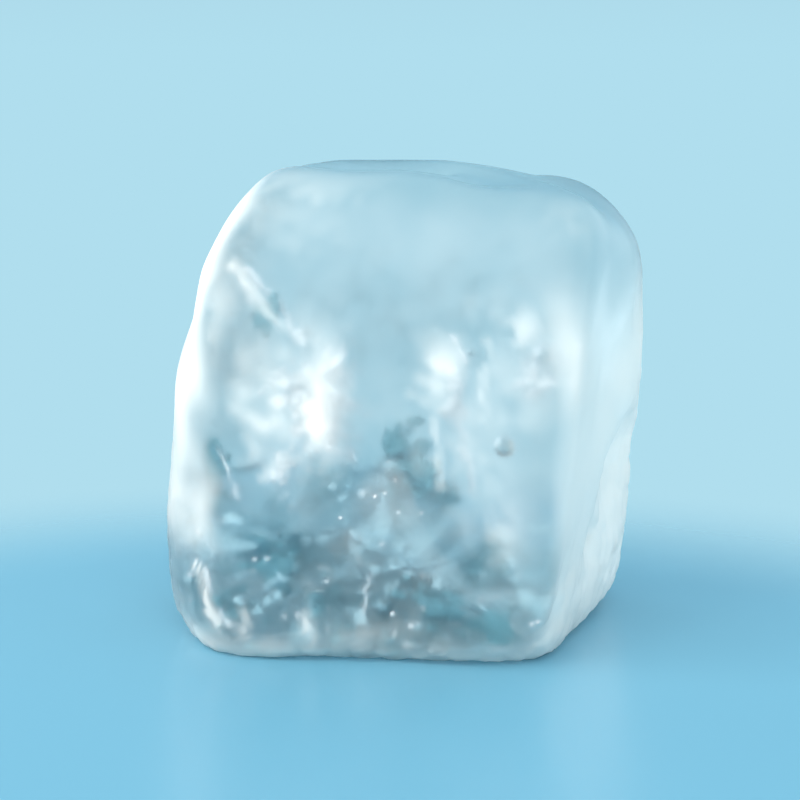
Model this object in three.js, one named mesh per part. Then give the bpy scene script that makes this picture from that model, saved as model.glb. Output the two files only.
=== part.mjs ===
// One piece of nugget ice: a compact, melt-rounded block that rests on a flat foot.
// Millimetres, +Z up. The origin is on the ground, under the middle of the block.
import * as THREE from 'three';
import { mergeVertices } from 'three/addons/utils/BufferGeometryUtils.js';

// The point inside the block that every face is measured from.
const HEART = new THREE.Vector3(0, 0, 8);

// Squares along each side of the cube that the surface is wrapped from.
const GRID = 26;

// Higher makes tighter edges where two faces meet.
const EDGE_CRISPNESS = 14;

// The broad faces left by the press and by melting: which way each one looks,
// and how far it lies from the heart.
const FACES = [
  { name: 'front', looks: [0.02, -1, 0.05], away: 6.9 },
  { name: 'back', looks: [0.05, 1, 0.06], away: 6.9 },
  { name: 'right', looks: [1, -0.13, -0.08], away: 7.35 },
  { name: 'left', looks: [-1, 0.04, 0.07], away: 8.6 },
  { name: 'top', looks: [0.07, 0.03, 1], away: 8.45 },
  { name: 'foot', looks: [0, 0, -1], away: 8.9 },
  { name: 'left shoulder', looks: [-1, -0.1, 0.55], away: 8.65 },
  { name: 'right shoulder', looks: [1, 0.1, 1], away: 9.85 },
  { name: 'front shoulder', looks: [0.06, -1, 0.52], away: 7.45 },
  { name: 'back shoulder', looks: [-0.1, 1, 1], away: 9.8 },
  { name: 'left heel', looks: [-1, 0, -1.1], away: 11.5 },
  { name: 'right heel', looks: [1, 0, -1.6], away: 11 },
  { name: 'front heel', looks: [0.2, -1, -1.3], away: 10.4 },
  { name: 'back heel', looks: [0.1, 1, -0.9], away: 10 },
  { name: 'left front edge', looks: [-1, -0.8, 0], away: 8.75 },
  { name: 'left back edge', looks: [-1, 1, 0.1], away: 8.8 },
  { name: 'right back edge', looks: [1, 1, 0.1], away: 8.9 },
];

// Slow swells that melting leaves all over: crest direction, spacing and height.
const SWELLS = [
  { along: [0.8, 0.3, 0.5], spacing: 7.3, height: 0.07, start: 0.4 },
  { along: [-0.4, 0.9, 0.3], spacing: 5.9, height: 0.06, start: 2.1 },
  { along: [0.2, -0.5, 0.9], spacing: 4.7, height: 0.05, start: 4.0 },
  { along: [0.6, 0.7, -0.6], spacing: 3.4, height: 0.04, start: 1.2 },
];

// Hollows melted or chipped into the faces: the spot each is centred on, its reach and depth.
const HOLLOWS = [
  { at: [-2.6, -7, 8.8], reach: 1.7, depth: 0.6 },
  { at: [-5.7, -6.8, 6.2], reach: 1.1, depth: 0.42 },
  { at: [0.3, -7, 6.4], reach: 1.2, depth: 0.55 },
  { at: [3.2, -7, 9.4], reach: 1.5, depth: 0.35 },
  { at: [1.2, -7, 2.4], reach: 1.3, depth: 0.55 },
  { at: [-3.4, -7, 3.4], reach: 1.4, depth: 0.5 },
  { at: [3.9, -7, 5.2], reach: 1, depth: 0.3 },
  { at: [7.3, -2, 10.2], reach: 1.8, depth: 0.25 },
  { at: [7.2, 0.9, 5.4], reach: 1.6, depth: 0.5 },
  { at: [7, 2.4, 11.4], reach: 1.2, depth: 0.35 },
  { at: [4.2, 7, 4.4], reach: 1.5, depth: 0.6 },
  { at: [-0.6, 7, 9.8], reach: 1.9, depth: 0.65 },
  { at: [-4.4, 7, 5.2], reach: 1.4, depth: 0.55 },
  { at: [1.4, 7, 13], reach: 1.1, depth: 0.4 },
  { at: [-7.8, 4.2, 9.8], reach: 1.5, depth: 0.6 },
  { at: [-8.2, 3, 5.6], reach: 1.3, depth: 0.5 },
  { at: [-7.2, 4.2, 4.2], reach: 1.1, depth: 0.45 },
  { at: [-2.2, 0.8, 16.4], reach: 2, depth: 0.4 },
  { at: [2.9, -2.6, 16], reach: 1.6, depth: 0.32 },
  { at: [2.6, 3.4, 15.8], reach: 1.2, depth: 0.36 },
];

// Small pits where air bubbles have opened at the surface.
const PITS = [
  { at: [-6, -6, 2.8], reach: 0.65, depth: 0.4 },
  { at: [-1, -7, 4.4], reach: 0.65, depth: 0.38 },
  { at: [5.2, -6.8, 2.8], reach: 0.6, depth: 0.34 },
  { at: [7.2, -1.4, 3], reach: 0.7, depth: 0.4 },
  { at: [5.6, 6.2, 8.4], reach: 0.75, depth: 0.45 },
  { at: [1.2, 7, 6.6], reach: 0.65, depth: 0.42 },
  { at: [-2.7, 7, 2.6], reach: 0.75, depth: 0.45 },
  { at: [-8.3, 2, 7.8], reach: 0.65, depth: 0.4 },
  { at: [0.6, 0.2, 16.2], reach: 0.7, depth: 0.34 },
];

// Crests left standing along an edge: where each one starts and ends, its reach and height.
const CRESTS = [
  { start: [5.8, -6.8, 2], end: [6.3, -6.5, 10.5], reach: 0.9, height: 0.35 },
];

// Low ledges where two pressed flakes of ice freeze together at different levels. Each follows
// a slanting plane through the block and fades out away from the middle of its own side.
const LEDGES = [
  { side: [-0.3, -1, -0.1], across: [0.5, 0, 1], level: 8.4, drop: 0.24, waver: 0.5 },
  { side: [0.2, -1, -0.7], across: [-0.8, 0, 1], level: 3.1, drop: 0.3, waver: 0.4 },
  { side: [0.1, 1, 0.1], across: [0.7, 0, 1], level: 8.4, drop: 0.45, waver: 0.7 },
  { side: [-0.6, 1, -0.5], across: [-1, 0.2, 0.6], level: 6.2, drop: 0.36, waver: 0.4 },
  { side: [-0.7, 0.8, 0], across: [0, -0.6, 1], level: 9.2, drop: 0.34, waver: 0.5 },
  { side: [1, 0.5, -0.2], across: [0, 0.5, 1], level: 7.6, drop: 0.34, waver: 0.5 },
  { side: [0, 0.2, 1], across: [0.7, 1, 0], level: 0.8, drop: 0.28, waver: 0.6 },
];

// How far a ledge takes to drop from one level to the other, and the spacing of its wavering.
const LEDGE_WIDTH = 0.4;
const WAVER_SPACING = 3.1;

const ICE_COLOUR = 0xd9e9f0;
const ICE_ROUGHNESS = 0.12;

const unit = (xyz) => new THREE.Vector3(...xyz).normalize();
const faces = FACES.map((face) => ({ ...face, looks: unit(face.looks) }));
const swells = SWELLS.map((swell) => ({ ...swell, along: unit(swell.along) }));
const hollows = [...HOLLOWS, ...PITS].map((dip) => ({ ...dip, at: new THREE.Vector3(...dip.at) }));
const crests = CRESTS.map((crest) => ({
  ...crest,
  line: new THREE.Line3(new THREE.Vector3(...crest.start), new THREE.Vector3(...crest.end)),
}));
const ledges = LEDGES.map((ledge) => ({
  ...ledge,
  side: unit(ledge.side),
  across: unit(ledge.across),
}));

// Distance from the heart to the plain block's surface: the nearest face wins, softly.
function plainReach(direction) {
  let sum = 0;
  for (const { looks, away } of faces) {
    const towards = Math.max(0, direction.dot(looks)) / away;
    sum += towards ** EDGE_CRISPNESS;
  }
  return sum ** (-1 / EDGE_CRISPNESS);
}

function swellHeight(point) {
  let height = 0;
  for (const swell of swells) {
    const turn = (2 * Math.PI * point.dot(swell.along)) / swell.spacing;
    height += swell.height * Math.sin(turn + swell.start);
  }
  return height;
}

function hollowDepth(point) {
  let depth = 0;
  for (const dip of hollows) {
    const spread = point.distanceToSquared(dip.at) / dip.reach ** 2;
    depth += dip.depth * Math.exp(-spread);
  }
  return depth;
}

function crestHeight(point) {
  const nearest = new THREE.Vector3();
  let height = 0;
  for (const crest of crests) {
    crest.line.closestPointToPoint(point, true, nearest);
    const spread = point.distanceToSquared(nearest) / crest.reach ** 2;
    height += crest.height * Math.exp(-spread);
  }
  return height;
}

function ledgeDrop(point, direction) {
  let drop = 0;
  for (const ledge of ledges) {
    const nearSide = Math.max(0, direction.dot(ledge.side)) ** 2;
    const sideways = point.clone().cross(ledge.across).length();
    const waver = ledge.waver * Math.sin((2 * Math.PI * sideways) / WAVER_SPACING);
    const below = ledge.level - point.dot(ledge.across) + waver;
    drop += ledge.drop * nearSide * (0.5 + 0.5 * Math.tanh(below / LEDGE_WIDTH));
  }
  return drop;
}

// The melted surface along one direction, with the foot melted flat on the ground.
function surfacePoint(direction) {
  const reach = plainReach(direction);
  const plain = direction.clone().multiplyScalar(reach).add(HEART);
  const raised = swellHeight(plain) + crestHeight(plain);
  const sunk = hollowDepth(plain) + ledgeDrop(plain, direction);
  const point = direction.clone().multiplyScalar(reach + raised - sunk).add(HEART);
  point.z = Math.max(0, point.z);
  return point;
}

// Wraps a cube's grid onto the block, with the grid lines spread evenly over its faces.
function nuggetGeometry() {
  const cube = new THREE.BoxGeometry(2, 2, 2, GRID, GRID, GRID);
  cube.deleteAttribute('normal');
  cube.deleteAttribute('uv');
  const geometry = mergeVertices(cube);
  const position = geometry.attributes.position;
  const direction = new THREE.Vector3();
  for (let i = 0; i < position.count; i += 1) {
    direction.fromBufferAttribute(position, i);
    const spread = [direction.x, direction.y, direction.z].map((s) => Math.tan((s * Math.PI) / 4));
    direction.set(...spread).normalize();
    const point = surfacePoint(direction);
    position.setXYZ(i, point.x, point.y, point.z);
  }
  geometry.computeBoundingBox();
  const middle = geometry.boundingBox.getCenter(new THREE.Vector3());
  geometry.translate(-middle.x, -middle.y, 0);
  geometry.computeVertexNormals();
  return geometry;
}

const ice = new THREE.MeshStandardMaterial({
  color: ICE_COLOUR,
  roughness: ICE_ROUGHNESS,
  metalness: 0,
  transparent: true,
  opacity: 0.35,
});

const nugget = new THREE.Mesh(nuggetGeometry(), ice);
nugget.name = 'ice_nugget';

const group = new THREE.Group();
group.add(nugget);

export default group;
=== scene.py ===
"""One piece of nugget ice on a pale glossy floor.

A melt-rounded block of clear ice with a soft melted skin. It is frosted on its left side,
on its right face and in patches on the front, and its lower half is full of the gaps left
between the flakes that were pressed together to make it.
"""

import math
import random

import bmesh
import bpy
import numpy as np
from mathutils import Matrix, Vector, noise


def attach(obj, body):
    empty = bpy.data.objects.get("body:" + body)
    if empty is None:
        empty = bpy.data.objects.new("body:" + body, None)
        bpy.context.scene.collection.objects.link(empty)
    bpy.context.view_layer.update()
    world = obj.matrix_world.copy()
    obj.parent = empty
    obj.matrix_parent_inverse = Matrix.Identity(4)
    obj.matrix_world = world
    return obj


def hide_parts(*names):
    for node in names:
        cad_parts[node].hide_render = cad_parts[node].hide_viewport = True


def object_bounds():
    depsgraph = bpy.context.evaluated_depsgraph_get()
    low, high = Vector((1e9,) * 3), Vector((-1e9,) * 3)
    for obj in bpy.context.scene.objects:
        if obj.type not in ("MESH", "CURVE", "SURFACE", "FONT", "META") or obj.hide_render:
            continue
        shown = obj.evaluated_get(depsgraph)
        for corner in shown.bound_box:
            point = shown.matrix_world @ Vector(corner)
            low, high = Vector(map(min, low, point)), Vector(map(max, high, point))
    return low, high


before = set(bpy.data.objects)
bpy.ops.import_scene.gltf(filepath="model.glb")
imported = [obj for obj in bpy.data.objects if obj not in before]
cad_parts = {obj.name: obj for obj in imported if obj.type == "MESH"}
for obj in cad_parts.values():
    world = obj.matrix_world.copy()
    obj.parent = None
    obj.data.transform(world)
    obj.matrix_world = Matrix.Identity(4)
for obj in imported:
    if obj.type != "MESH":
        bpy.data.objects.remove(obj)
cad_low, cad_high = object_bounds()

# All lengths below are in millimetres. X runs to the right, Y to the back and Z up.
MM = 0.001
FRONT = (0, -1, 0)

# ---------------------------------------------------------------- the block's outer form

# The point inside the block that every face is measured from.
HEART = np.array([0.0, 0.0, 8.0])

# Higher makes tighter edges where two faces meet.
EDGE_CRISPNESS = 14

# The broad faces left by the press and by melting: which way each one looks,
# and how far it lies from the heart.
FACES = {
    "front": ([0.02, -1, 0.05], 6.9),
    "back": ([0.05, 1, 0.06], 6.9),
    "right": ([1, -0.13, -0.08], 7.35),
    "left": ([-1, 0.04, 0.07], 8.6),
    "top": ([0.07, 0.03, 1], 8.45),
    "foot": ([0, 0, -1], 8.9),
    "left shoulder": ([-1, -0.1, 0.55], 8.65),
    "right shoulder": ([1, 0.1, 1], 9.85),
    "front shoulder": ([0.06, -1, 0.52], 7.45),
    "back shoulder": ([-0.1, 1, 1], 9.8),
    "left heel": ([-1, 0, -1.1], 11.5),
    "right heel": ([1, 0, -1.6], 11),
    "front heel": ([0.2, -1, -1.3], 10.4),
    "back heel": ([0.1, 1, -0.9], 10),
    "left front edge": ([-1, -0.8, 0], 8.75),
    "left back edge": ([-1, 1, 0.1], 8.8),
    "right back edge": ([1, 1, 0.1], 8.9),
}

# Slow swells that melting leaves all over: crest direction, spacing, height and start.
SWELLS = [
    ([0.8, 0.3, 0.5], 7.3, 0.07, 0.4),
    ([-0.4, 0.9, 0.3], 5.9, 0.06, 2.1),
    ([0.2, -0.5, 0.9], 4.7, 0.05, 4.0),
    ([0.6, 0.7, -0.6], 3.4, 0.04, 1.2),
]

# Hollows melted or chipped into the faces: the spot each is centred on, its reach and depth.
HOLLOWS = [
    ([-2.6, -7, 8.8], 1.7, 0.6),
    ([-5.7, -6.8, 6.2], 1.1, 0.42),
    ([0.3, -7, 6.4], 1.2, 0.55),
    ([3.2, -7, 9.4], 1.5, 0.35),
    ([1.2, -7, 2.4], 1.3, 0.55),
    ([-3.4, -7, 3.4], 1.4, 0.5),
    ([3.9, -7, 5.2], 1, 0.3),
    ([7.3, -2, 10.2], 1.8, 0.25),
    ([7.2, 0.9, 5.4], 1.6, 0.5),
    ([7, 2.4, 11.4], 1.2, 0.35),
    ([4.2, 7, 4.4], 1.5, 0.6),
    ([-0.6, 7, 9.8], 1.9, 0.65),
    ([-4.4, 7, 5.2], 1.4, 0.55),
    ([1.4, 7, 13], 1.1, 0.4),
    ([-7.8, 4.2, 9.8], 1.5, 0.6),
    ([-8.2, 3, 5.6], 1.3, 0.5),
    ([-7.2, 4.2, 4.2], 1.1, 0.45),
    ([-2.2, 0.8, 16.4], 2, 0.4),
    ([2.9, -2.6, 16], 1.6, 0.32),
    ([2.6, 3.4, 15.8], 1.2, 0.36),
]

# Small pits where air bubbles have opened at the surface: spot, reach and depth.
PITS = [
    ([-6, -6, 2.8], 0.65, 0.4),
    ([-1, -7, 4.4], 0.65, 0.38),
    ([5.2, -6.8, 2.8], 0.6, 0.34),
    ([7.2, -1.4, 3], 0.7, 0.4),
    ([5.6, 6.2, 8.4], 0.75, 0.45),
    ([1.2, 7, 6.6], 0.65, 0.42),
    ([-2.7, 7, 2.6], 0.75, 0.45),
    ([-8.3, 2, 7.8], 0.65, 0.4),
    ([0.6, 0.2, 16.2], 0.7, 0.34),
]

# Crests left standing along an edge: start, end, reach and height.
CRESTS = [
    ([5.8, -6.8, 2], [6.3, -6.5, 10.5], 0.9, 0.35),
]

# Low ledges where two pressed flakes of ice freeze together at different levels: the side
# each is on, the way across its slanting plane, its level, its drop and how far it wavers.
LEDGES = [
    ([-0.3, -1, -0.1], [0.5, 0, 1], 8.4, 0.24, 0.5),
    ([0.2, -1, -0.7], [-0.8, 0, 1], 3.1, 0.3, 0.4),
    ([0.1, 1, 0.1], [0.7, 0, 1], 8.4, 0.45, 0.7),
    ([-0.6, 1, -0.5], [-1, 0.2, 0.6], 6.2, 0.36, 0.4),
    ([-0.7, 0.8, 0], [0, -0.6, 1], 9.2, 0.34, 0.5),
    ([1, 0.5, -0.2], [0, 0.5, 1], 7.6, 0.34, 0.5),
    ([0, 0.2, 1], [0.7, 1, 0], 0.8, 0.28, 0.6),
]

# How far a ledge takes to drop from one level to the other, and the spacing of its wavering.
LEDGE_WIDTH = 0.4
WAVER_SPACING = 3.1

# Squares along each side of the cube that the skin is wrapped from.
SKIN_SQUARES = 72

# Melt ripples too fine for the solid: spacing and height.
RIPPLE_SPACING = 1.7
RIPPLE_HEIGHT = 0.035

# Crazing on the back and the underside, where the piece broke off: cell size, depth of the
# grooves between the cells, and the grooves' width as a share of a cell.
CRAZE_CELL = 0.9
CRAZE_DEPTH = 0.09
CRAZE_GROOVE = 0.33

# How strong the crazing is halfway up the sides, how much it gains towards the back and the
# foot, and how much and how widely its patches vary it.
CRAZE_AT_SIDES = 0.2
CRAZE_TO_BACK = 0.9
CRAZE_TO_FOOT = 1.6
CRAZE_PATCHINESS = 0.6
CRAZE_PATCH_SPACING = 3.1


def unit(xyz):
    way = np.array(xyz, dtype=float)
    return way / np.linalg.norm(way)


def smooth(low, high, value):
    """0 below low, 1 above high and a soft step between; low may be the larger of the two."""
    step = np.clip((value - low) / (high - low), 0, 1)
    return step * step * (3 - 2 * step)


def ripples(points, spacing, shift=(0, 0, 0)):
    """Smooth random waves, between about -1 and 1, at each of the points.

    Each shift gives other waves of the same kind.
    """
    start = Vector(shift)
    return np.array([noise.noise(Vector(point) / spacing + start) for point in points])


def plain_reach(direction):
    """Distance from the heart to the plain block's surface: the nearest face wins, softly."""
    total = np.zeros(len(direction))
    for looks, away in FACES.values():
        towards = np.maximum(0, direction @ unit(looks)) / away
        total += towards**EDGE_CRISPNESS
    return total ** (-1 / EDGE_CRISPNESS)


def swell_height(point):
    height = np.zeros(len(point))
    for along, spacing, rise, start in SWELLS:
        height += rise * np.sin(2 * np.pi * (point @ unit(along)) / spacing + start)
    return height


def hollow_depth(point):
    depth = np.zeros(len(point))
    for at, reach, deepest in HOLLOWS + PITS:
        depth += deepest * np.exp(-((point - np.array(at)) ** 2).sum(1) / reach**2)
    return depth


def crest_height(point):
    height = np.zeros(len(point))
    for start, end, reach, rise in CRESTS:
        way = np.array(end) - np.array(start)
        share = np.clip((point - np.array(start)) @ way / (way @ way), 0, 1)
        away = point - np.array(start) - share[:, None] * way
        height += rise * np.exp(-(away**2).sum(1) / reach**2)
    return height


def ledge_drop(point, direction):
    drop = np.zeros(len(point))
    for side, across, level, height, waver in LEDGES:
        near_side = np.maximum(0, direction @ unit(side)) ** 2
        sideways = np.linalg.norm(np.cross(point, unit(across)), axis=1)
        wavering = waver * np.sin(2 * np.pi * sideways / WAVER_SPACING)
        below = level - point @ unit(across) + wavering
        drop += height * near_side * (0.5 + 0.5 * np.tanh(below / LEDGE_WIDTH))
    return drop


def relief(point, direction):
    raised = swell_height(point) + crest_height(point)
    return raised - hollow_depth(point) - ledge_drop(point, direction)


def craze_groove(point):
    """How deep in a groove the point lies, from 0 to 1, in a net of random cells."""
    nearest, second = noise.voronoi(Vector(point) / CRAZE_CELL)[0][:2]
    return 1 - min(1.0, (second - nearest) / CRAZE_GROOVE)


def fine_relief(point, direction):
    """Melt ripples all over, and crazing that fades out towards the front and the top."""
    patchy = CRAZE_PATCHINESS * ripples(point, CRAZE_PATCH_SPACING, shift=(9, 2, 4))
    backwards, downwards = direction[:, 1], -direction[:, 2]
    strength = CRAZE_AT_SIDES + CRAZE_TO_BACK * backwards + CRAZE_TO_FOOT * downwards + patchy
    crazed = np.clip(strength, 0, 1)
    groove = np.array([craze_groove(p) for p in point])
    return RIPPLE_HEIGHT * ripples(point, RIPPLE_SPACING) - CRAZE_DEPTH * crazed * groove


def wrapped_cube(squares):
    """Directions to the corners of a cube's grid, evenly spread, and the grid's quads."""
    steps = np.tan(np.linspace(-1, 1, squares + 1) * np.pi / 4)
    corner_at = {}
    quads = []

    def corner(axis, far_side, i, j):
        key = [0, 0, 0]
        key[axis] = squares if far_side else 0
        key[(axis + 1) % 3] = i
        key[(axis + 2) % 3] = j
        return corner_at.setdefault(tuple(key), len(corner_at))

    for axis in range(3):
        for far_side in (False, True):
            for i in range(squares):
                for j in range(squares):
                    ring = ((i, j), (i + 1, j), (i + 1, j + 1), (i, j + 1))
                    quad = [corner(axis, far_side, *place) for place in ring]
                    quads.append(quad if far_side else quad[::-1])
    direction = np.array([[steps[k] for k in key] for key in corner_at])
    return direction / np.linalg.norm(direction, axis=1)[:, None], quads


def skin():
    """The block's melted outside, flat on the floor."""
    direction, quads = wrapped_cube(SKIN_SQUARES)
    reach = plain_reach(direction)
    plain = HEART + direction * reach[:, None]
    rise = relief(plain, direction) + fine_relief(plain, direction)
    point = HEART + direction * (reach + rise)[:, None]
    point[:, 2] = np.maximum(0, point[:, 2])
    return point, quads


def depth_below_skin(points):
    """Least depth of the points, along lines from the heart, with the foot left out."""
    away = np.atleast_2d(points) - HEART
    length = np.linalg.norm(away, axis=1)
    direction = away / length[:, None]
    reach = plain_reach(direction)
    reach = reach + relief(HEART + direction * reach[:, None], direction)
    return (reach - length).min()


# ------------------------------------------------------------------- gaps inside the ice

# Every gap is a closed pocket of air whose faces look into the pocket. What a gap's walls
# look like is given by the list it is put in, one list for each of these finishes. Their
# order is that of the materials after the skin's own.
# The last finish is a dark blue wall tone that is painted shade in the hill of flakes.
FINISHES = ("clear", "grey", "white", "painted_shade")

# Where a gap is tested, it lies at least this deep along lines from the heart, and this far
# above the foot. The shortest way out can be a little less, so both leave room for that.
CLEAR_OF_SKIN = 0.15
CLEAR_OF_FOOT = 0.06

# Spacing of the fine crinkles across a flat gap, and how many times wider and higher a second,
# coarser set is.
CRINKLE_SPACING = 0.42
COARSE_CRINKLES_WIDER = 3
COARSE_CRINKLES_HIGHER = 2

# How many waves a ragged rim makes along a gap's radius.
RIM_WAVES = 1.4

# Each gap takes its raggedness from another stretch of the random waves, this far along.
WAVE_STARTS = (0, 40)


def ball(cuts):
    """Corners and triangles of a ball of radius 1 with its faces looking inwards."""
    shape = bmesh.new()
    bmesh.ops.create_icosphere(shape, subdivisions=cuts, radius=1)
    corners = np.array([tuple(corner.co) for corner in shape.verts])
    triangles = [[corner.index for corner in face.verts][::-1] for face in shape.faces]
    shape.free()
    return corners, triangles


def grain():
    """The same for an eight-sided grain, for gaps too small to need a rounder form."""
    corners = np.array([side * way for way in np.eye(3) for side in (1, -1)])
    triangles = []
    for x in (0, 1):
        for y in (2, 3):
            for z in (4, 5):
                turned = (x == 1) ^ (y == 3) ^ (z == 5)
                triangles.append([x, y, z] if turned else [z, y, x])
    return corners, triangles


GRAIN = grain()
COARSE_BALL = ball(1)
BALL = ball(2)
FINE_BALL = ball(3)


def looking(way):
    """The turn that faces a flat gap the given way."""
    return np.array(Vector(way).to_track_quat("Z", "Y").to_matrix())


def lying(along, looks):
    """The turn that lays a gap's length one way and faces its flat side another."""
    along = Vector(along).normalized()
    looks = Vector(looks)
    looks = (looks - looks.dot(along) * along).normalized()
    return np.array(Matrix((along, looks.cross(along), looks)).transposed())


def air_gap(at, radii, turn, shape=GRAIN, ragged=0.0, crinkle=0.0, start=0.0):
    """A squashed ball with a ragged rim, crinkled across its flat way."""
    corners, triangles = shape
    points = corners * np.array(radii)
    if ragged or crinkle:
        shift = (start, -start, 2 * start)
        other_shift = (-start, start, -2 * start)
        rim = RIM_WAVES * corners * [1, 1, 0]
        points[:, :2] *= 1 + ragged * ripples(rim, 1, shift)[:, None]
        flat = points * [1, 1, 0]
        wide = COARSE_CRINKLES_WIDER * CRINKLE_SPACING
        points[:, 2] += crinkle * ripples(flat, CRINKLE_SPACING, shift)
        points[:, 2] += COARSE_CRINKLES_HIGHER * crinkle * ripples(flat, wide, other_shift)
    return points @ turn.T + np.array(at), triangles


def lies_inside(gap):
    points, _ = gap
    return depth_below_skin(points) > CLEAR_OF_SKIN and points[:, 2].min() > CLEAR_OF_FOOT


class Room:
    """Keeps the gaps from running into each other."""

    def __init__(self):
        self.places = np.zeros((0, 3))
        self.sizes = np.zeros(0)

    def takes(self, at, size, apart):
        """Takes the place unless a gap lies nearer than this share of the two sizes."""
        distance = np.linalg.norm(self.places - at, axis=1)
        if np.any(distance < apart * (self.sizes + size)):
            return False
        self.places = np.vstack([self.places, at])
        self.sizes = np.append(self.sizes, size)
        return True


# The hill of pressed flakes in the lower half. It peaks near the middle and falls away on
# each side to a foot height over a reach. For each mm towards the back its peak shifts to the
# left by the skew, and its top comes down by the lean. The softness blurs its outline.
HILL_PEAK_AT = -0.3
HILL_PEAK = 6.35
HILL_LEFT = {"foot": 4.1, "reach": 1.1}
HILL_RIGHT = {"foot": 2.35, "reach": 1.3}
HILL_SKEW = 0.2
HILL_LEAN = 0.156
HILL_SOFTNESS = 0.55

# How thickly the flakes' gaps lie inside the hill, and how much and how widely that varies.
FLAKES_CROWD = 0.8
FLAKES_CROWD_VARIES = 0.6
FLAKES_CROWD_SPACING = 2.3


def hill_top(x, y):
    along = x + HILL_SKEW * y - HILL_PEAK_AT
    side = HILL_LEFT if along < 0 else HILL_RIGHT
    rise = HILL_PEAK - side["foot"]
    return side["foot"] + rise * math.exp(-((along / side["reach"]) ** 2)) - HILL_LEAN * y


def flakes_wanted(x, y, z):
    """How thickly the flakes' gaps lie: all through the hill, and few above it."""
    inside = 1 / (1 + math.exp((z - hill_top(x, y)) / HILL_SOFTNESS))
    patchy = noise.noise(Vector((x, y, z)) / FLAKES_CROWD_SPACING)
    return inside * (FLAKES_CROWD + FLAKES_CROWD_VARIES * patchy)


# The gaps between the pressed flakes, in three sizes: how many, their smallest and largest
# radius, thickness over radius, raggedness, crinkle, how much their tilt is scattered, how
# near the front they come, how close they crowd, the share whose walls are clouded, and the
# ball each starts from.
FLAKE_SIZES = [
    {"count": 140, "radius": (0.4, 0.85), "thin": 0.12, "ragged": 0.9, "crinkle": 0.14,
     "tilt": 0.4, "front": -3.6, "apart": 0.35, "clouded": 1.0, "shape": FINE_BALL},
    {"count": 600, "radius": (0.14, 0.34), "thin": 0.4, "ragged": 0.9, "crinkle": 0.05,
     "tilt": 0.9, "front": -5.2, "apart": 0.6, "clouded": 0.88, "shape": BALL},
    {"count": 300, "radius": (0.05, 0.12), "thin": 0.8, "ragged": 0.3, "crinkle": 0.0,
     "tilt": 0.9, "front": -5.2, "apart": 0.6, "clouded": 0.6, "shape": COARSE_BALL},
]

# How far the flakes' gaps spread across, towards the back and up.
FLAKES_ACROSS = (-7, 7)
FLAKES_BACK = 6.4
FLAKES_UP = (0.2, 9.5)

# A flat gap's width over its length, and how much its thickness varies.
FLAKE_WIDTH = (0.6, 1)
FLAKE_THICKNESS_VARIES = (0.7, 1.3)

# A flat gap faces up by this much. Most tip towards the front besides, and some towards the
# back. At the lower of the two heights they lie level, and at the upper one they tip fully.
FLAKE_UP = 0.9
FLAKE_TIP_FRONT = -0.95
FLAKE_TIP_BACK = 0.45
FLAKE_BACK_SHARE = 0.25
FLAKE_TIP_HEIGHTS = (0.2, 2.2)

# Gaps with the dark wall tone, a painted shade, and grey gaps gather in blots: their spacing,
# a shift that picks one run of blots, and how strong a blot has to be before its gaps get the
# painted shade.
BLOT_SPACING = 1.7
BLOT_SHIFT = Vector((5, 3, 8))
BLOT_START = 0.07

# Places where the blots get more painted shade or, below zero, less: middle across and up, reach,
# and how much.
BLOT_PLACES = [
    ((0.5, 6.7), 1.2, 0.7),
    ((-5.4, 6.2), 0.8, 0.3),
    ((-3.2, 2.6), 1.6, 0.35),
    ((1.8, 1.6), 1.5, 0.3),
    ((-2.1, 4.5), 1.2, -0.5),
    ((0.2, 3.6), 1.2, -0.5),
    ((5.1, 1.7), 1.3, -0.6),
    ((5.5, 3.4), 1.2, -0.3),
    ((2.9, 5.0), 1.1, -0.6),
    ((4.0, 3.4), 1.3, -0.6),
]


def flake_finish(chance, at, clouded):
    if chance.random() > clouded:
        return "clear"
    blot = noise.noise(Vector(at) / BLOT_SPACING + BLOT_SHIFT)
    for (across, up), reach, darker in BLOT_PLACES:
        blot += darker * math.exp(-((at[0] - across) ** 2 + (at[2] - up) ** 2) / reach**2)
    # Clouded gaps in the strong blots get the dark wall tone, which is painted shade.
    return "painted_shade" if blot > BLOT_START else "grey"


def pressed_flakes(room, gaps, size, chance):
    smallest, largest = size["radius"]
    made = 0
    while made < size["count"]:
        across = chance.uniform(*FLAKES_ACROSS)
        back = chance.uniform(size["front"], FLAKES_BACK)
        at = np.array((across, back, chance.uniform(*FLAKES_UP)))
        if chance.random() > flakes_wanted(*at):
            continue
        radius = smallest + (largest - smallest) * chance.random() ** 2
        tip = FLAKE_TIP_BACK if chance.random() < FLAKE_BACK_SHARE else FLAKE_TIP_FRONT
        tipped = smooth(*FLAKE_TIP_HEIGHTS, at[2])
        aside, ahead = chance.gauss(0, size["tilt"]), tip + chance.gauss(0, size["tilt"])
        turn = looking((aside * tipped, ahead * tipped, FLAKE_UP))
        thick = radius * size["thin"] * chance.uniform(*FLAKE_THICKNESS_VARIES)
        radii = (radius, radius * chance.uniform(*FLAKE_WIDTH), thick)
        start = chance.uniform(*WAVE_STARTS)
        gap = air_gap(at, radii, turn, size["shape"], size["ragged"], size["crinkle"], start)
        if lies_inside(gap) and room.takes(at, radius, size["apart"]):
            gaps[flake_finish(chance, at, size["clouded"])].append(gap)
            made += 1
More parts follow.
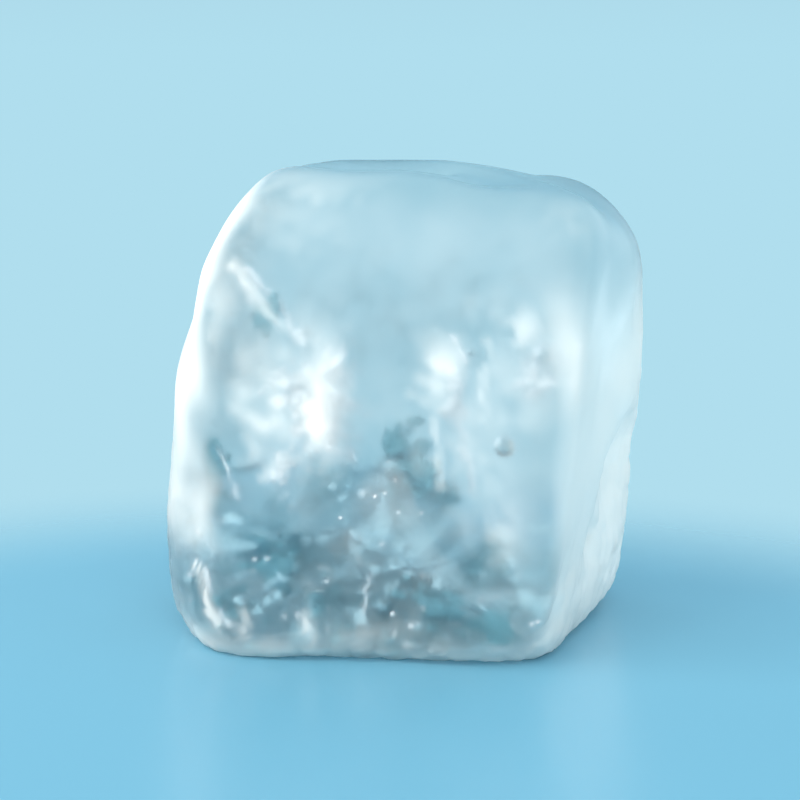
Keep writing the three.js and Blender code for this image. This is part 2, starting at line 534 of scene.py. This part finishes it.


# Flakes with the dark wall tone that stand out near the front, a painted shade: place, half
# length, half width and lean.
PAINTED_SHADE_FLAKES = [
    ((-5.75, -4.3, 6.2), 1.3, 0.45, 0.3),
    ((-5.8, -4.1, 5.0), 0.7, 0.4, 0.5),
    ((-3.9, -4.0, 2.6), 0.6, 0.7, 0.0),
    ((0.3, -4.2, 7.5), 0.55, 0.4, -0.6),
    ((0.9, -4.0, 6.7), 0.6, 0.55, 0.3),
    ((1.5, -4.3, 6.2), 0.5, 0.4, -0.2),
    ((-4.3, -4.2, 11.4), 0.6, 0.35, 0.4),
    ((1.8, -4.2, 1.7), 0.6, 0.9, 0.4),
    ((3.6, -4.0, 1.4), 0.4, 0.8, -0.2),
]
DARK_FLAKE_THICKNESS = 0.06
DARK_FLAKE_RAGGED = 0.9
DARK_FLAKE_CRINKLE = 0.07

# The share of a dark flake's half length that other gaps leave room for.
DARK_FLAKE_ROOM = 0.6


def painted_shade_flakes(room, gaps):
    for at, half_length, half_width, lean in PAINTED_SHADE_FLAKES:
        room.takes(np.array(at), DARK_FLAKE_ROOM * half_length, 0)
        turn = lying((math.sin(lean), 0, math.cos(lean)), FRONT)
        radii = (half_length, half_width, DARK_FLAKE_THICKNESS)
        gap = air_gap(at, radii, turn, FINE_BALL, DARK_FLAKE_RAGGED, DARK_FLAKE_CRINKLE, at[0])
        gaps["painted_shade"].append(gap)


# Round bubbles: place and radius.
BUBBLES = [
    ((4.2, -5.4, 7.5), 0.36),
    ((-2.6, -4.8, 11.0), 0.16),
    ((2.9, -4.4, 10.4), 0.12),
    ((5.3, -3.4, 10.1), 0.2),
]


def round_bubbles(room, gaps):
    for at, radius in BUBBLES:
        room.takes(np.array(at), radius, 0)
        gaps["clear"].append(air_gap(at, (radius, radius, radius), np.eye(3), FINE_BALL))


# Clouds of fine white air: middle, spread along each axis, and number of grains.
CLOUDS = [
    ((-2.4, -3.2, 8.2), (0.6, 0.5, 0.9), 800),
    ((-1.9, -4.0, 9.3), (0.32, 0.4, 0.42), 260),
    ((-3.4, -4.0, 9.0), (0.4, 0.4, 0.4), 220),
    ((2.1, -2.8, 8.7), (0.2, 0.3, 0.5), 240),
    ((5.0, -2.6, 9.6), (0.26, 0.3, 0.45), 160),
    ((-3.6, -4.4, 6.0), (0.14, 0.3, 0.3), 50),
]

# One white flake is tried for this many grains.
GRAINS_TO_A_FLAKE = 9

# White flakes face the light that falls in from the upper left of the front, give or take
# this scatter.
WHITE_LOOKS = (-0.55, -0.7, 0.4)
WHITE_SCATTER = 0.3

# The white flakes gather closer to a cloud's middle than its grains do, by this share. Their
# width and thickness are shares of the radius.
WHITE_FLAKE_SPREAD = 0.8
WHITE_FLAKE_RADIUS = (0.14, 0.4)
WHITE_FLAKE_WIDTH = (0.5, 1)
WHITE_FLAKE_THIN = 0.12
WHITE_FLAKE_RAGGED = 0.9
WHITE_FLAKE_CRINKLE = 0.05
WHITE_FLAKE_APART = 0.4

# The grains: radius, length over radius, and how close they crowd.
GRAIN_RADIUS = (0.045, 0.1)
GRAIN_LENGTH = (0.7, 1.6)
GRAIN_APART = 0.9


def white_flake(at, chance):
    radius = chance.uniform(*WHITE_FLAKE_RADIUS)
    turn = looking([way + chance.gauss(0, WHITE_SCATTER) for way in WHITE_LOOKS])
    radii = (radius, radius * chance.uniform(*WHITE_FLAKE_WIDTH), WHITE_FLAKE_THIN * radius)
    start = chance.uniform(*WAVE_STARTS)
    gap = air_gap(at, radii, turn, BALL, WHITE_FLAKE_RAGGED, WHITE_FLAKE_CRINKLE, start)
    return radius, gap


def white_grain(at, chance):
    radius = chance.uniform(*GRAIN_RADIUS)
    turn = looking((chance.uniform(-1, 1), chance.uniform(-1, 1), 1))
    radii = (radius, radius, radius * chance.uniform(*GRAIN_LENGTH))
    return radius, air_gap(at, radii, turn)


def white_clouds(room, gaps, chance):
    for middle, spread, count in CLOUDS:
        closer = [WHITE_FLAKE_SPREAD * s for s in spread]
        flakes = (count // GRAINS_TO_A_FLAKE, closer, white_flake, WHITE_FLAKE_APART)
        grains = (count, spread, white_grain, GRAIN_APART)
        for tries, reach, one_gap, apart in (flakes, grains):
            for _ in range(tries):
                at = np.array([chance.gauss(m, s) for m, s in zip(middle, reach)])
                radius, gap = one_gap(at, chance)
                if lies_inside(gap) and room.takes(at, radius, apart):
                    gaps["white"].append(gap)


# Thin white cracks, each a line of narrow overlapping gaps: start, end and half width.
WHITE_CRACKS = [
    ((2.5, -3.0, 6.9), (2.6, -3.2, 5.6), 0.16),
    ((2.35, -3.0, 8.3), (2.5, -3.1, 7.1), 0.12),
    ((-4.9, -4.0, 12.8), (-2.9, -3.8, 10.6), 0.12),
    ((2.1, -4.0, 10.9), (2.7, -4.0, 10.0), 0.07),
    ((-6.2, -4.4, 2.5), (-5.2, -4.8, 0.8), 0.09),
    ((-5.7, -4.6, 7.0), (-4.9, -4.8, 5.2), 0.06),
    ((-0.6, -4.6, 2.8), (-0.8, -4.6, 1.4), 0.08),
]
CRACK_THICKNESS = 0.03

# How many gaps make up a crack, and how many times a gap's half length goes into the crack's
# length, which makes them overlap.
GAPS_IN_A_CRACK = 7
HALF_GAPS_IN_A_CRACK = 9

# How far the gaps stray off the line of their crack, and how much their width varies.
CRACK_STRAY = 0.04
CRACK_WIDTH_VARIES = (0.5, 1.5)


def white_cracks(gaps, chance):
    for start, end, half_width in WHITE_CRACKS:
        start, end = np.array(start), np.array(end)
        turn = lying(end - start, WHITE_LOOKS)
        half_length = np.linalg.norm(end - start) / HALF_GAPS_IN_A_CRACK
        for k in range(GAPS_IN_A_CRACK):
            off_line = np.array([chance.gauss(0, CRACK_STRAY), 0, chance.gauss(0, CRACK_STRAY)])
            at = start + (k + 0.5) / GAPS_IN_A_CRACK * (end - start) + off_line
            width = half_width * chance.uniform(*CRACK_WIDTH_VARIES)
            gaps["white"].append(air_gap(at, (half_length, width, CRACK_THICKNESS), turn, BALL))


# Fine bubbles with the dark wall tone in a level band above the hill, a painted shade that dims
# it a little: how far they spread across and back, the band's level and how far it spreads up and
# down, their radius, how deep they lie below the skin, and how close they crowd.
SHADE_SPECK_COUNT = 260
SHADE_SPECKS_ACROSS = 3.2
SHADE_SPECKS_BACK = (0, 5)
SHADE_SPECKS_LEVEL = 10.4
SHADE_SPECKS_UP = 0.8
SHADE_SPECK_RADIUS = (0.06, 0.12)
SHADE_SPECK_DEPTH = 0.8
SHADE_SPECKS_APART = 0.9


def painted_shade_specks(room, gaps, chance):
    for _ in range(SHADE_SPECK_COUNT):
        across, back = chance.gauss(0, SHADE_SPECKS_ACROSS), chance.uniform(*SHADE_SPECKS_BACK)
        at = np.array((across, back, chance.gauss(SHADE_SPECKS_LEVEL, SHADE_SPECKS_UP)))
        radius = chance.uniform(*SHADE_SPECK_RADIUS)
        if depth_below_skin(at) > SHADE_SPECK_DEPTH and room.takes(at, radius, SHADE_SPECKS_APART):
            gaps["painted_shade"].append(air_gap(at, (radius, radius, radius), np.eye(3)))


# Small white flecks scattered through the front of the hill: how many, where they may lie
# across, from front to back and up, how far above the hill, which way they face, and their
# form, with the width and the thickness as shares of the radius.
FLECK_COUNT = 90
FLECKS_ACROSS = (-7, 6.5)
FLECKS_BACK = (-6.2, -2.0)
FLECKS_UP = (0.3, 7)
FLECKS_ABOVE_HILL = 0.3
FLECK_LOOKS = (-0.5, -0.7, 0.5)
FLECK_RADIUS = (0.06, 0.2)
FLECK_WIDTH = (0.4, 1)
FLECK_THIN = 0.2
FLECK_RAGGED = 0.9
FLECK_APART = 0.5


def white_fleck(at, chance):
    radius = chance.uniform(*FLECK_RADIUS)
    aside, ahead, up = FLECK_LOOKS
    aside += chance.gauss(0, WHITE_SCATTER)
    ahead += chance.gauss(0, WHITE_SCATTER)
    turn = looking((aside, ahead, up))
    radii = (radius, radius * chance.uniform(*FLECK_WIDTH), FLECK_THIN * radius)
    start = chance.uniform(*WAVE_STARTS)
    return radius, air_gap(at, radii, turn, COARSE_BALL, FLECK_RAGGED, start=start)


def white_flecks(room, gaps, chance):
    made = 0
    while made < FLECK_COUNT:
        across, back = chance.uniform(*FLECKS_ACROSS), chance.uniform(*FLECKS_BACK)
        at = np.array((across, back, chance.uniform(*FLECKS_UP)))
        if at[2] > hill_top(across, back) + FLECKS_ABOVE_HILL:
            continue
        radius, gap = white_fleck(at, chance)
        if lies_inside(gap) and room.takes(at, radius, FLECK_APART):
            gaps["white"].append(gap)
            made += 1


# The random draws of the clouds, the cracks, the bubbles of painted shade and the flecks start
# from these seeds, and those of the flakes' sizes from 0, 1 and 2.
CLOUD_SEED = 10
CRACK_SEED = 11
SHADE_SPECK_SEED = 12
FLECK_SEED = 13


def gaps_by_finish():
    room = Room()
    gaps = {finish: [] for finish in FINISHES}
    round_bubbles(room, gaps)
    painted_shade_flakes(room, gaps)
    for seed, size in enumerate(FLAKE_SIZES):
        pressed_flakes(room, gaps, size, random.Random(seed))
    white_clouds(room, gaps, random.Random(CLOUD_SEED))
    white_cracks(gaps, random.Random(CRACK_SEED))
    painted_shade_specks(room, gaps, random.Random(SHADE_SPECK_SEED))
    white_flecks(room, gaps, random.Random(FLECK_SEED))
    return gaps


# -------------------------------------------------------------------- frost on the skin

# The frost is a share of white at each corner of the skin: 0 is clear melted ice and 1 is
# wholly white. Each pair below says where a fade starts and where it ends.

# Random waves over the skin, from about -1 to 1, keep the frost uneven: the spacing of each
# kind, and a shift that picks one run of it.
WAVES = {
    "broad": (4.0, (3, 1, 7)),
    "patchy": (1.6, (0, 0, 0)),
    "mottled": (1.1, (13, 11, 17)),
    "flecked": (0.55, (4, 8, 2)),
}

# How far the skin has to look to the front, or to the back, to belong to it.
FRONT_FADES = (0.1, 0.5)
BACK_FADES = (0.1, 0.6)

# The left side is white over the left face, its shoulder and a share of the edge towards the
# front. The white fades towards the foot, and draws back between two heights.
LEFT_FROST = 0.88
LEFT_EDGE_SHARE = 0.5
LEFT_FADES = (0.04, 0.64)
LEFT_OUTLINE_UNEVEN = {"patchy": 0.16}
LEFT_FOOT_FADES = (2.6, 5.5)
LEFT_WAIST = 0.15
LEFT_WAIST_FROM = (3.5, 5.0)
LEFT_WAIST_TO = (10.0, 8.0)

# It also thins out from the front round to the back, most of it between the patches.
LEFT_THINS = (-0.55, -0.1)
LEFT_LOSS = 0.65
LEFT_LOSS_UNEVEN = {"patchy": -0.3}

# The right face is white between these bearings, in degrees round from the front, and fades
# out with height.
RIGHT_FROST = 0.74
RIGHT_FROM = (42, 50)
RIGHT_TO = (120, 150)
RIGHT_HEIGHTS = (9.0, 14.0)
RIGHT_UNEVEN = {"broad": 0.08}

# A thin haze over the right half of the hill, clear again near the foot.
HILL_HAZE = 0.1
HILL_HAZE_ABOVE_HILL = (0.6, -0.6)
HILL_HAZE_HEIGHTS = (1.5, 4.0)
HILL_HAZE_ACROSS = (-3, 2)
HILL_HAZE_UNEVEN = {"patchy": 0.6}

# A thin white along the front of the foot: a painted reflection of the bright floor.
FOOT_PAINTED_REFLECTION = 0.4
FOOT_PAINTED_REFLECTION_HEIGHTS = (1.1, 0.2)
FOOT_PAINTED_REFLECTION_UNEVEN = {"patchy": 0.5}

# A thin uneven haze over the upper part of the front.
UPPER_HAZE = 0.05
UPPER_HAZE_ABOVE_HILL = (0.0, 3.0)
UPPER_HAZE_UNEVEN = {"broad": 0.8, "patchy": 0.7, "flecked": 0.3}

# Broken frost on the back, level with the hill.
BACK_FROST = 0.14
BACK_ABOVE_HILL = (0.5, -0.5)
BACK_UNEVEN = {"mottled": 0.3}

# Frosted patches on the front: middle across and up, reach across and up, and strength.
FROST_PATCHES = [
    ((-3.0, 8.8), (1.05, 2.1), 0.44),
    ((-5.3, 11.6), (0.8, 1.9), 0.3),
    ((4.4, 12.2), (1.0, 1.2), 0.1),
    ((5.0, 5.4), (1.2, 2.0), 0.25),
    ((-2.5, 14.8), (2.8, 1.6), 0.12),
    ((-1.5, 9.1), (1.0, 1.8), 0.75),
    ((2.55, 9.7), (0.85, 1.0), 0.6),
    ((5.5, 11.3), (0.7, 0.8), 0.34),
    ((5.2, 9.2), (1.6, 1.6), 0.2),
    ((-3.2, 16.2), (3.2, 0.9), 0.2),
    ((4.2, 16.1), (2.2, 0.6), 0.06),
    # This patch at the right shoulder is painted light: its white stands in for light refracted
    # through the shoulder.
    ((7.0, 14.8), (1.2, 1.2), 0.14),
    ((0.0, 0.9), (1.2, 0.45), 0.35),
    ((0.4, 3.9), (1.2, 1.3), 0.1),
    ((-1.6, 5.6), (1.0, 1.0), 0.08),
    ((4.2, 7.4), (1.8, 2.6), 0.22),
    ((1.6, 9.0), (3.4, 1.6), 0.12),
]

# How far the waves push a patch's outline about, across and up, and how they break its white.
PATCH_STRAYS_ACROSS = {"patchy": 0.8, "flecked": 0.4}
PATCH_STRAYS_UP = {"broad": 0.9, "flecked": 0.4}
PATCH_UNEVEN = {"patchy": 0.3, "flecked": 0.5}

# Frosted scratches on the front: start and end across and up, half width and strength.
FROST_SCRATCHES = [
    ((-4.5, 13.3), (-2.3, 11.0), 0.24, 0.36),
    ((-5.9, 2.9), (-4.9, 1.1), 0.2, 0.5),
    ((4.2, 11.0), (4.3, 5.0), 0.22, 0.25),
    ((2.5, 8.4), (2.8, 6.2), 0.2, 0.3),
    ((-1.9, 8.0), (-3.2, 6.3), 0.25, 0.3),
    ((-3.9, 1.6), (-3.8, 0.4), 0.2, 0.34),
    ((-1.7, 1.6), (-1.6, 0.4), 0.2, 0.45),
]

# How far the waves bend a scratch, across and up, and how they break its white.
SCRATCH_STRAYS_ACROSS = {"flecked": 0.25}
SCRATCH_STRAYS_UP = {"patchy": 0.25}
SCRATCH_UNEVEN = {"flecked": 0.6}


class Skin:
    """What the frost at each of the skin's corners depends on."""

    def __init__(self, points):
        away = points - HEART
        self.looks = away / np.linalg.norm(away, axis=1)[:, None]
        self.across = points[:, 0]
        self.height = points[:, 2]
        self.front = smooth(*FRONT_FADES, -self.looks[:, 1])
        self.back = smooth(*BACK_FADES, self.looks[:, 1])
        self.above_hill = self.height - np.array([hill_top(x, y) for x, y in points[:, :2]])
        self.waves = {name: ripples(points, *wave) for name, wave in WAVES.items()}

    def face_share(self, name):
        """How much of the surface here belongs to the named face."""
        looks, away = FACES[name]
        towards = np.maximum(0, self.looks @ unit(looks)) / away
        return (towards * plain_reach(self.looks)) ** EDGE_CRISPNESS

    def uneven(self, strengths):
        """The named waves here, added up at these strengths."""
        return sum(strength * self.waves[name] for name, strength in strengths.items())


def left_frost(here):
    rim = here.face_share("left") + here.face_share("left shoulder")
    rim = rim + LEFT_EDGE_SHARE * here.face_share("left front edge")
    waist = smooth(*LEFT_WAIST_FROM, here.height) * smooth(*LEFT_WAIST_TO, here.height)
    rim = rim - LEFT_WAIST * waist + here.uneven(LEFT_OUTLINE_UNEVEN)
    wide = smooth(*LEFT_FADES, rim) * smooth(*LEFT_FOOT_FADES, here.height)
    loss = LEFT_LOSS + here.uneven(LEFT_LOSS_UNEVEN)
    return (LEFT_FROST - loss * smooth(*LEFT_THINS, here.looks[:, 1])) * wide


def right_frost(here):
    bearing = np.degrees(np.arctan2(here.looks[:, 0], -here.looks[:, 1]))
    wide = smooth(*RIGHT_FROM, bearing) * (1 - smooth(*RIGHT_TO, bearing))
    low = 1 - smooth(*RIGHT_HEIGHTS, here.height)
    return (RIGHT_FROST + here.uneven(RIGHT_UNEVEN)) * wide * low


def hill_haze(here):
    over_hill = smooth(*HILL_HAZE_ABOVE_HILL, here.above_hill)
    off_foot = smooth(*HILL_HAZE_HEIGHTS, here.height)
    right_half = smooth(*HILL_HAZE_ACROSS, here.across)
    return HILL_HAZE * over_hill * off_foot * right_half * (1 + here.uneven(HILL_HAZE_UNEVEN))


def foot_painted_reflection(here):
    # The white here is a painted reflection of the floor along the foot.
    low = smooth(*FOOT_PAINTED_REFLECTION_HEIGHTS, here.height)
    return FOOT_PAINTED_REFLECTION * here.front * low * (1 + here.uneven(FOOT_PAINTED_REFLECTION_UNEVEN))


def upper_haze(here):
    high = smooth(*UPPER_HAZE_ABOVE_HILL, here.above_hill)
    return UPPER_HAZE * here.front * high * (1 + here.uneven(UPPER_HAZE_UNEVEN))


def back_frost(here):
    level_with_hill = smooth(*BACK_ABOVE_HILL, here.above_hill)
    return (BACK_FROST + here.uneven(BACK_UNEVEN)) * here.back * level_with_hill


def patch_frost(here, middle, reach, strength):
    across = here.across + here.uneven(PATCH_STRAYS_ACROSS) - middle[0]
    height = here.height + here.uneven(PATCH_STRAYS_UP) - middle[1]
    faded = np.exp(-((across / reach[0]) ** 2) - (height / reach[1]) ** 2)
    return strength * here.front * faded * (1 + here.uneven(PATCH_UNEVEN))


def scratch_frost(here, start, end, half_width, strength):
    across = here.across + here.uneven(SCRATCH_STRAYS_ACROSS) - start[0]
    height = here.height + here.uneven(SCRATCH_STRAYS_UP) - start[1]
    run, rise = end[0] - start[0], end[1] - start[1]
    along = np.clip((across * run + height * rise) / (run**2 + rise**2), 0, 1)
    off_line = (across - along * run) ** 2 + (height - along * rise) ** 2
    faded = np.exp(-off_line / half_width**2)
    return strength * here.front * faded * (1 + here.uneven(SCRATCH_UNEVEN))


def frost_on(points):
    here = Skin(points)
    layers = [left_frost(here), right_frost(here), back_frost(here)]
    layers += [hill_haze(here), upper_haze(here), foot_painted_reflection(here)]
    layers += [patch_frost(here, *patch) for patch in FROST_PATCHES]
    layers += [scratch_frost(here, *scratch) for scratch in FROST_SCRATCHES]
    return np.clip(np.max(layers, axis=0), 0, 1)


# ---------------------------------------------------------------------------- materials

ICE_IOR = 1.31


def linear(hex_colour):
    """An sRGB hex colour as linear light."""
    shades = []
    for k in (0, 2, 4):
        shade = int(hex_colour[k : k + 2], 16) / 255
        shades.append(shade / 12.92 if shade <= 0.04045 else ((shade + 0.055) / 1.055) ** 2.4)
    return (*shades, 1)


def add(tree, kind, settings=None, links=None):
    """Adds a node, sets its inputs or properties by name or number, and links its inputs."""
    node = tree.nodes.new(kind)
    for key, value in (settings or {}).items():
        if isinstance(key, int) or key in node.inputs:
            node.inputs[key].default_value = value
        else:
            setattr(node, key, value)
    for key, source in (links or {}).items():
        tree.links.new(source, node.inputs[key])
    return node


def blank_material(name):
    material = bpy.data.materials.new(name)
    material.use_nodes = True
    material.node_tree.nodes.clear()
    return material, material.node_tree


def melted_ice():
    """Clear ice with a wet skin that melting has left soft: what lies behind is a little
    blurred, and lights spread over it as a sheen. Where the skin is frosted, a matte white
    bloom covers it. A thickness of ice tints and dims what is seen through it. It dims more
    than clean ice would, which stands for bubbles too fine to build."""
    material, tree = blank_material("melted_ice")
    wet = add(tree, "ShaderNodeBsdfPrincipled", {
        "Base Color": linear("ffffff"), "Transmission Weight": 1.0,
        "IOR": ICE_IOR, "Roughness": 0.38})
    bloom = add(tree, "ShaderNodeBsdfPrincipled", {
        "Base Color": linear("fbf5ef"), "IOR": ICE_IOR, "Roughness": 0.5})
    # This mask is real frost, and along the front of the foot and at the right shoulder it is
    # also painted light.
    frost_and_painted_light = add(tree, "ShaderNodeAttribute", {"attribute_name": "frost_and_painted_light"})
    frosted = add(tree, "ShaderNodeMixShader", {}, {
        0: frost_and_painted_light.outputs["Fac"], 1: wet.outputs[0], 2: bloom.outputs[0]})
    depth = add(tree, "ShaderNodeVolumeAbsorption", {"Color": linear("abcad3"), "Density": 44.0})
    add(tree, "ShaderNodeOutputMaterial", {}, {
        "Surface": frosted.outputs[0], "Volume": depth.outputs[0]})
    return material


def air_gap_wall():
    """The smooth wall of an open gap: it mirrors the light at a glance and is clear head on."""
    material, tree = blank_material("air_gap_wall")
    wall = add(tree, "ShaderNodeBsdfPrincipled", {
        "Base Color": linear("cbdde0"), "Transmission Weight": 1.0,
        "IOR": ICE_IOR, "Roughness": 0.04})
    add(tree, "ShaderNodeOutputMaterial", {}, {"Surface": wall.outputs[0]})
    return material


# The tones of cracked ice: a pale blue-grey one, one full of fine white air, and a dark
# blue one that is painted shade, put where the hill of flakes should look dim.
CRACKED_ICE = {
    "grey_cracked_ice": "b8dce8",
    "white_cracked_ice": "f6fbff",
    "painted_shade_cracked_ice": "72a8b6",
}


def cracked_ice(name, colour):
    """Finely cracked ice on the wall of a gap: matte, and one soft tone all over."""
    material, tree = blank_material(name)
    wall = add(tree, "ShaderNodeBsdfPrincipled", {
        "Base Color": linear(colour), "IOR": ICE_IOR, "Roughness": 0.6})
    add(tree, "ShaderNodeOutputMaterial", {}, {"Surface": wall.outputs[0]})
    return material


# Where the floor's gloss starts to fade into the air around it, and where it is gone,
# measured from a point in front of the ice.
FLOOR_MIDDLE = (0, -12, 0)
FLOOR_FADES_FROM = 21
FLOOR_FADES_TO = 38


def glossy_floor():
    """Pale blue gloss paint, which gives a soft mirror image. It thins out into the air
    behind, so there is no horizon line."""
    material, tree = blank_material("glossy_floor")
    paint = add(tree, "ShaderNodeBsdfPrincipled", {
        "Base Color": linear("68a2ba"), "Roughness": 0.3})
    clear = add(tree, "ShaderNodeBsdfTransparent")
    place = add(tree, "ShaderNodeNewGeometry")
    away = add(tree, "ShaderNodeVectorMath", {
        "operation": "DISTANCE", 1: Vector(FLOOR_MIDDLE) * MM}, {0: place.outputs["Position"]})
    gone = add(tree, "ShaderNodeMapRange", {
        "interpolation_type": "SMOOTHSTEP",
        "From Min": FLOOR_FADES_FROM * MM, "From Max": FLOOR_FADES_TO * MM,
    }, {"Value": away.outputs["Value"]})
    fading = add(tree, "ShaderNodeMixShader", {}, {
        0: gone.outputs[0], 1: paint.outputs[0], 2: clear.outputs[0]})
    add(tree, "ShaderNodeOutputMaterial", {}, {"Surface": fading.outputs[0]})
    return material


# ------------------------------------------------------------------------ the ice itself


def joined(parts):
    points, faces, start = [], [], 0
    for part_points, part_faces in parts:
        points.append(part_points)
        faces.extend([[corner + start for corner in face] for face in part_faces])
        start += len(part_points)
    return np.concatenate(points), faces


def set_over_solid(points):
    """Moves the ice sideways so that its box is centred on the solid's box."""
    for axis in (0, 1):
        middle = (cad_low[axis] + cad_high[axis]) / 2 / MM
        points[:, axis] += middle - (points[:, axis].min() + points[:, axis].max()) / 2


def nugget_of_ice():
    outside = skin()
    gaps = gaps_by_finish()
    points, faces = joined([outside] + [gap for finish in FINISHES for gap in gaps[finish]])
    set_over_solid(points)
    mesh = bpy.data.meshes.new("nugget_of_ice")
    mesh.from_pydata((points * MM).tolist(), [], faces)
    mesh.shade_smooth()

    finish_of_face = [0] * len(outside[1])
    for number, finish in enumerate(FINISHES, start=1):
        finish_of_face += [number] * sum(len(triangles) for _, triangles in gaps[finish])
    mesh.materials.append(melted_ice())
    mesh.materials.append(air_gap_wall())
    for name, colour in CRACKED_ICE.items():
        mesh.materials.append(cracked_ice(name, colour))
    mesh.polygons.foreach_set("material_index", finish_of_face)

    # The white share is real frost, plus painted light: a painted reflection along the foot and a
    # painted patch at the right shoulder.
    frost_and_painted_light = np.zeros(len(points))
    frost_and_painted_light[: len(outside[0])] = frost_on(points[: len(outside[0])])
    mesh.attributes.new("frost_and_painted_light", "FLOAT", "POINT").data.foreach_set("value", frost_and_painted_light)

    piece = bpy.data.objects.new("nugget_of_ice", mesh)
    bpy.context.scene.collection.objects.link(piece)
    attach(piece, "root")
    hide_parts("ice_nugget")


# ---------------------------------------------------------------- floor, air and lights

FLOOR_RADIUS = 400
FLOOR_CORNERS = 96

# The floor lies a hair under the foot, so that the foot stays a clean sheet of ice and air.
FLOOR_DROP = 0.02

# The air's colour by the sine of the height above the horizon.
AIR_COLOURS = [
    (0.0, "b0deee"),
    (0.12, "a8d1e1"),
    (0.25, "a2cbdd"),
    (0.42, "a0cddf"),
    (1.0, "a6d3e5"),
]

# The soft boxes, all aimed at the heart of the ice: place, width and height, watts, colour.
SOFT_BOXES = {
    "key": ((-640, -460, 440), (900, 900), 8.6, "fff5ec"),
    "front": ((60, -640, 600), (900, 600), 7.0, "fff5ec"),
    "rim": ((-680, 500, 260), (640, 560), 1.6, "ffffff"),
    "right": ((760, -60, 240), (800, 760), 1.9, "fff2e6"),
    "back": ((420, 720, 240), (420, 420), 0.6, "ffffff"),
}


def floor():
    bearings = [2 * math.pi * k / FLOOR_CORNERS for k in range(FLOOR_CORNERS)]
    radius = FLOOR_RADIUS * MM
    ring = [(radius * math.cos(b), radius * math.sin(b), -FLOOR_DROP * MM) for b in bearings]
    mesh = bpy.data.meshes.new("floor")
    mesh.from_pydata(ring, [], [list(range(FLOOR_CORNERS))])
    mesh.materials.append(glossy_floor())
    piece = bpy.data.objects.new("floor", mesh)
    bpy.context.scene.collection.objects.link(piece)


def studio_air():
    world = bpy.data.worlds.new("studio_air")
    bpy.context.scene.world = world
    world.use_nodes = True
    tree = world.node_tree
    place = add(tree, "ShaderNodeTexCoord")
    split = add(tree, "ShaderNodeSeparateXYZ", {}, {0: place.outputs["Generated"]})
    colours = add(tree, "ShaderNodeValToRGB", {}, {0: split.outputs["Z"]})
    stops = colours.color_ramp.elements
    while len(stops) < len(AIR_COLOURS):
        stops.new(0.5)
    for stop, (height, colour) in zip(stops, AIR_COLOURS):
        stop.position = height
        stop.color = linear(colour)
    tree.links.new(colours.outputs[0], tree.nodes["Background"].inputs["Color"])


def soft_box(name, at, size, watts, colour):
    lamp = bpy.data.lights.new(name, "AREA")
    lamp.shape = "RECTANGLE"
    lamp.size, lamp.size_y = size[0] * MM, size[1] * MM
    lamp.energy = watts
    lamp.color = linear(colour)[:3]
    piece = bpy.data.objects.new(name, lamp)
    piece.visible_camera = False
    piece.location = Vector(at) * MM
    piece.rotation_mode = "QUATERNION"
    piece.rotation_quaternion = (Vector(HEART) - Vector(at)).to_track_quat("-Z", "Y")
    bpy.context.scene.collection.objects.link(piece)


# Where the camera stands: degrees round to the right, degrees up, distance and lens.
CAMERA_BEARING = 12
CAMERA_ELEVATION = 9
CAMERA_DISTANCE = 79.5
CAMERA_LENS = 100


def camera():
    lens = bpy.data.cameras.new("camera")
    lens.lens = CAMERA_LENS
    lens.clip_start = MM
    piece = bpy.data.objects.new("camera", lens)
    bearing, elevation = math.radians(CAMERA_BEARING), math.radians(CAMERA_ELEVATION)
    level = math.cos(elevation)
    towards = Vector((math.sin(bearing) * level, -math.cos(bearing) * level, math.sin(elevation)))
    piece.location = (Vector(HEART) + towards * CAMERA_DISTANCE) * MM
    piece.rotation_mode = "QUATERNION"
    piece.rotation_quaternion = (-towards).to_track_quat("-Z", "Y")
    bpy.context.scene.collection.objects.link(piece)
    bpy.context.scene.camera = piece


# Bounces enough for light to pass through the ice and many gaps behind one another.
ICE_BOUNCES = 24
GLOSS_BOUNCES = 12


def light_through_ice():
    scene = bpy.context.scene
    scene.view_settings.view_transform = "Standard"
    scene.cycles.max_bounces = ICE_BOUNCES
    scene.cycles.transmission_bounces = ICE_BOUNCES
    scene.cycles.glossy_bounces = GLOSS_BOUNCES


camera()
nugget_of_ice()
floor()
studio_air()
for name, box in SOFT_BOXES.items():
    soft_box(name, *box)
light_through_ice()
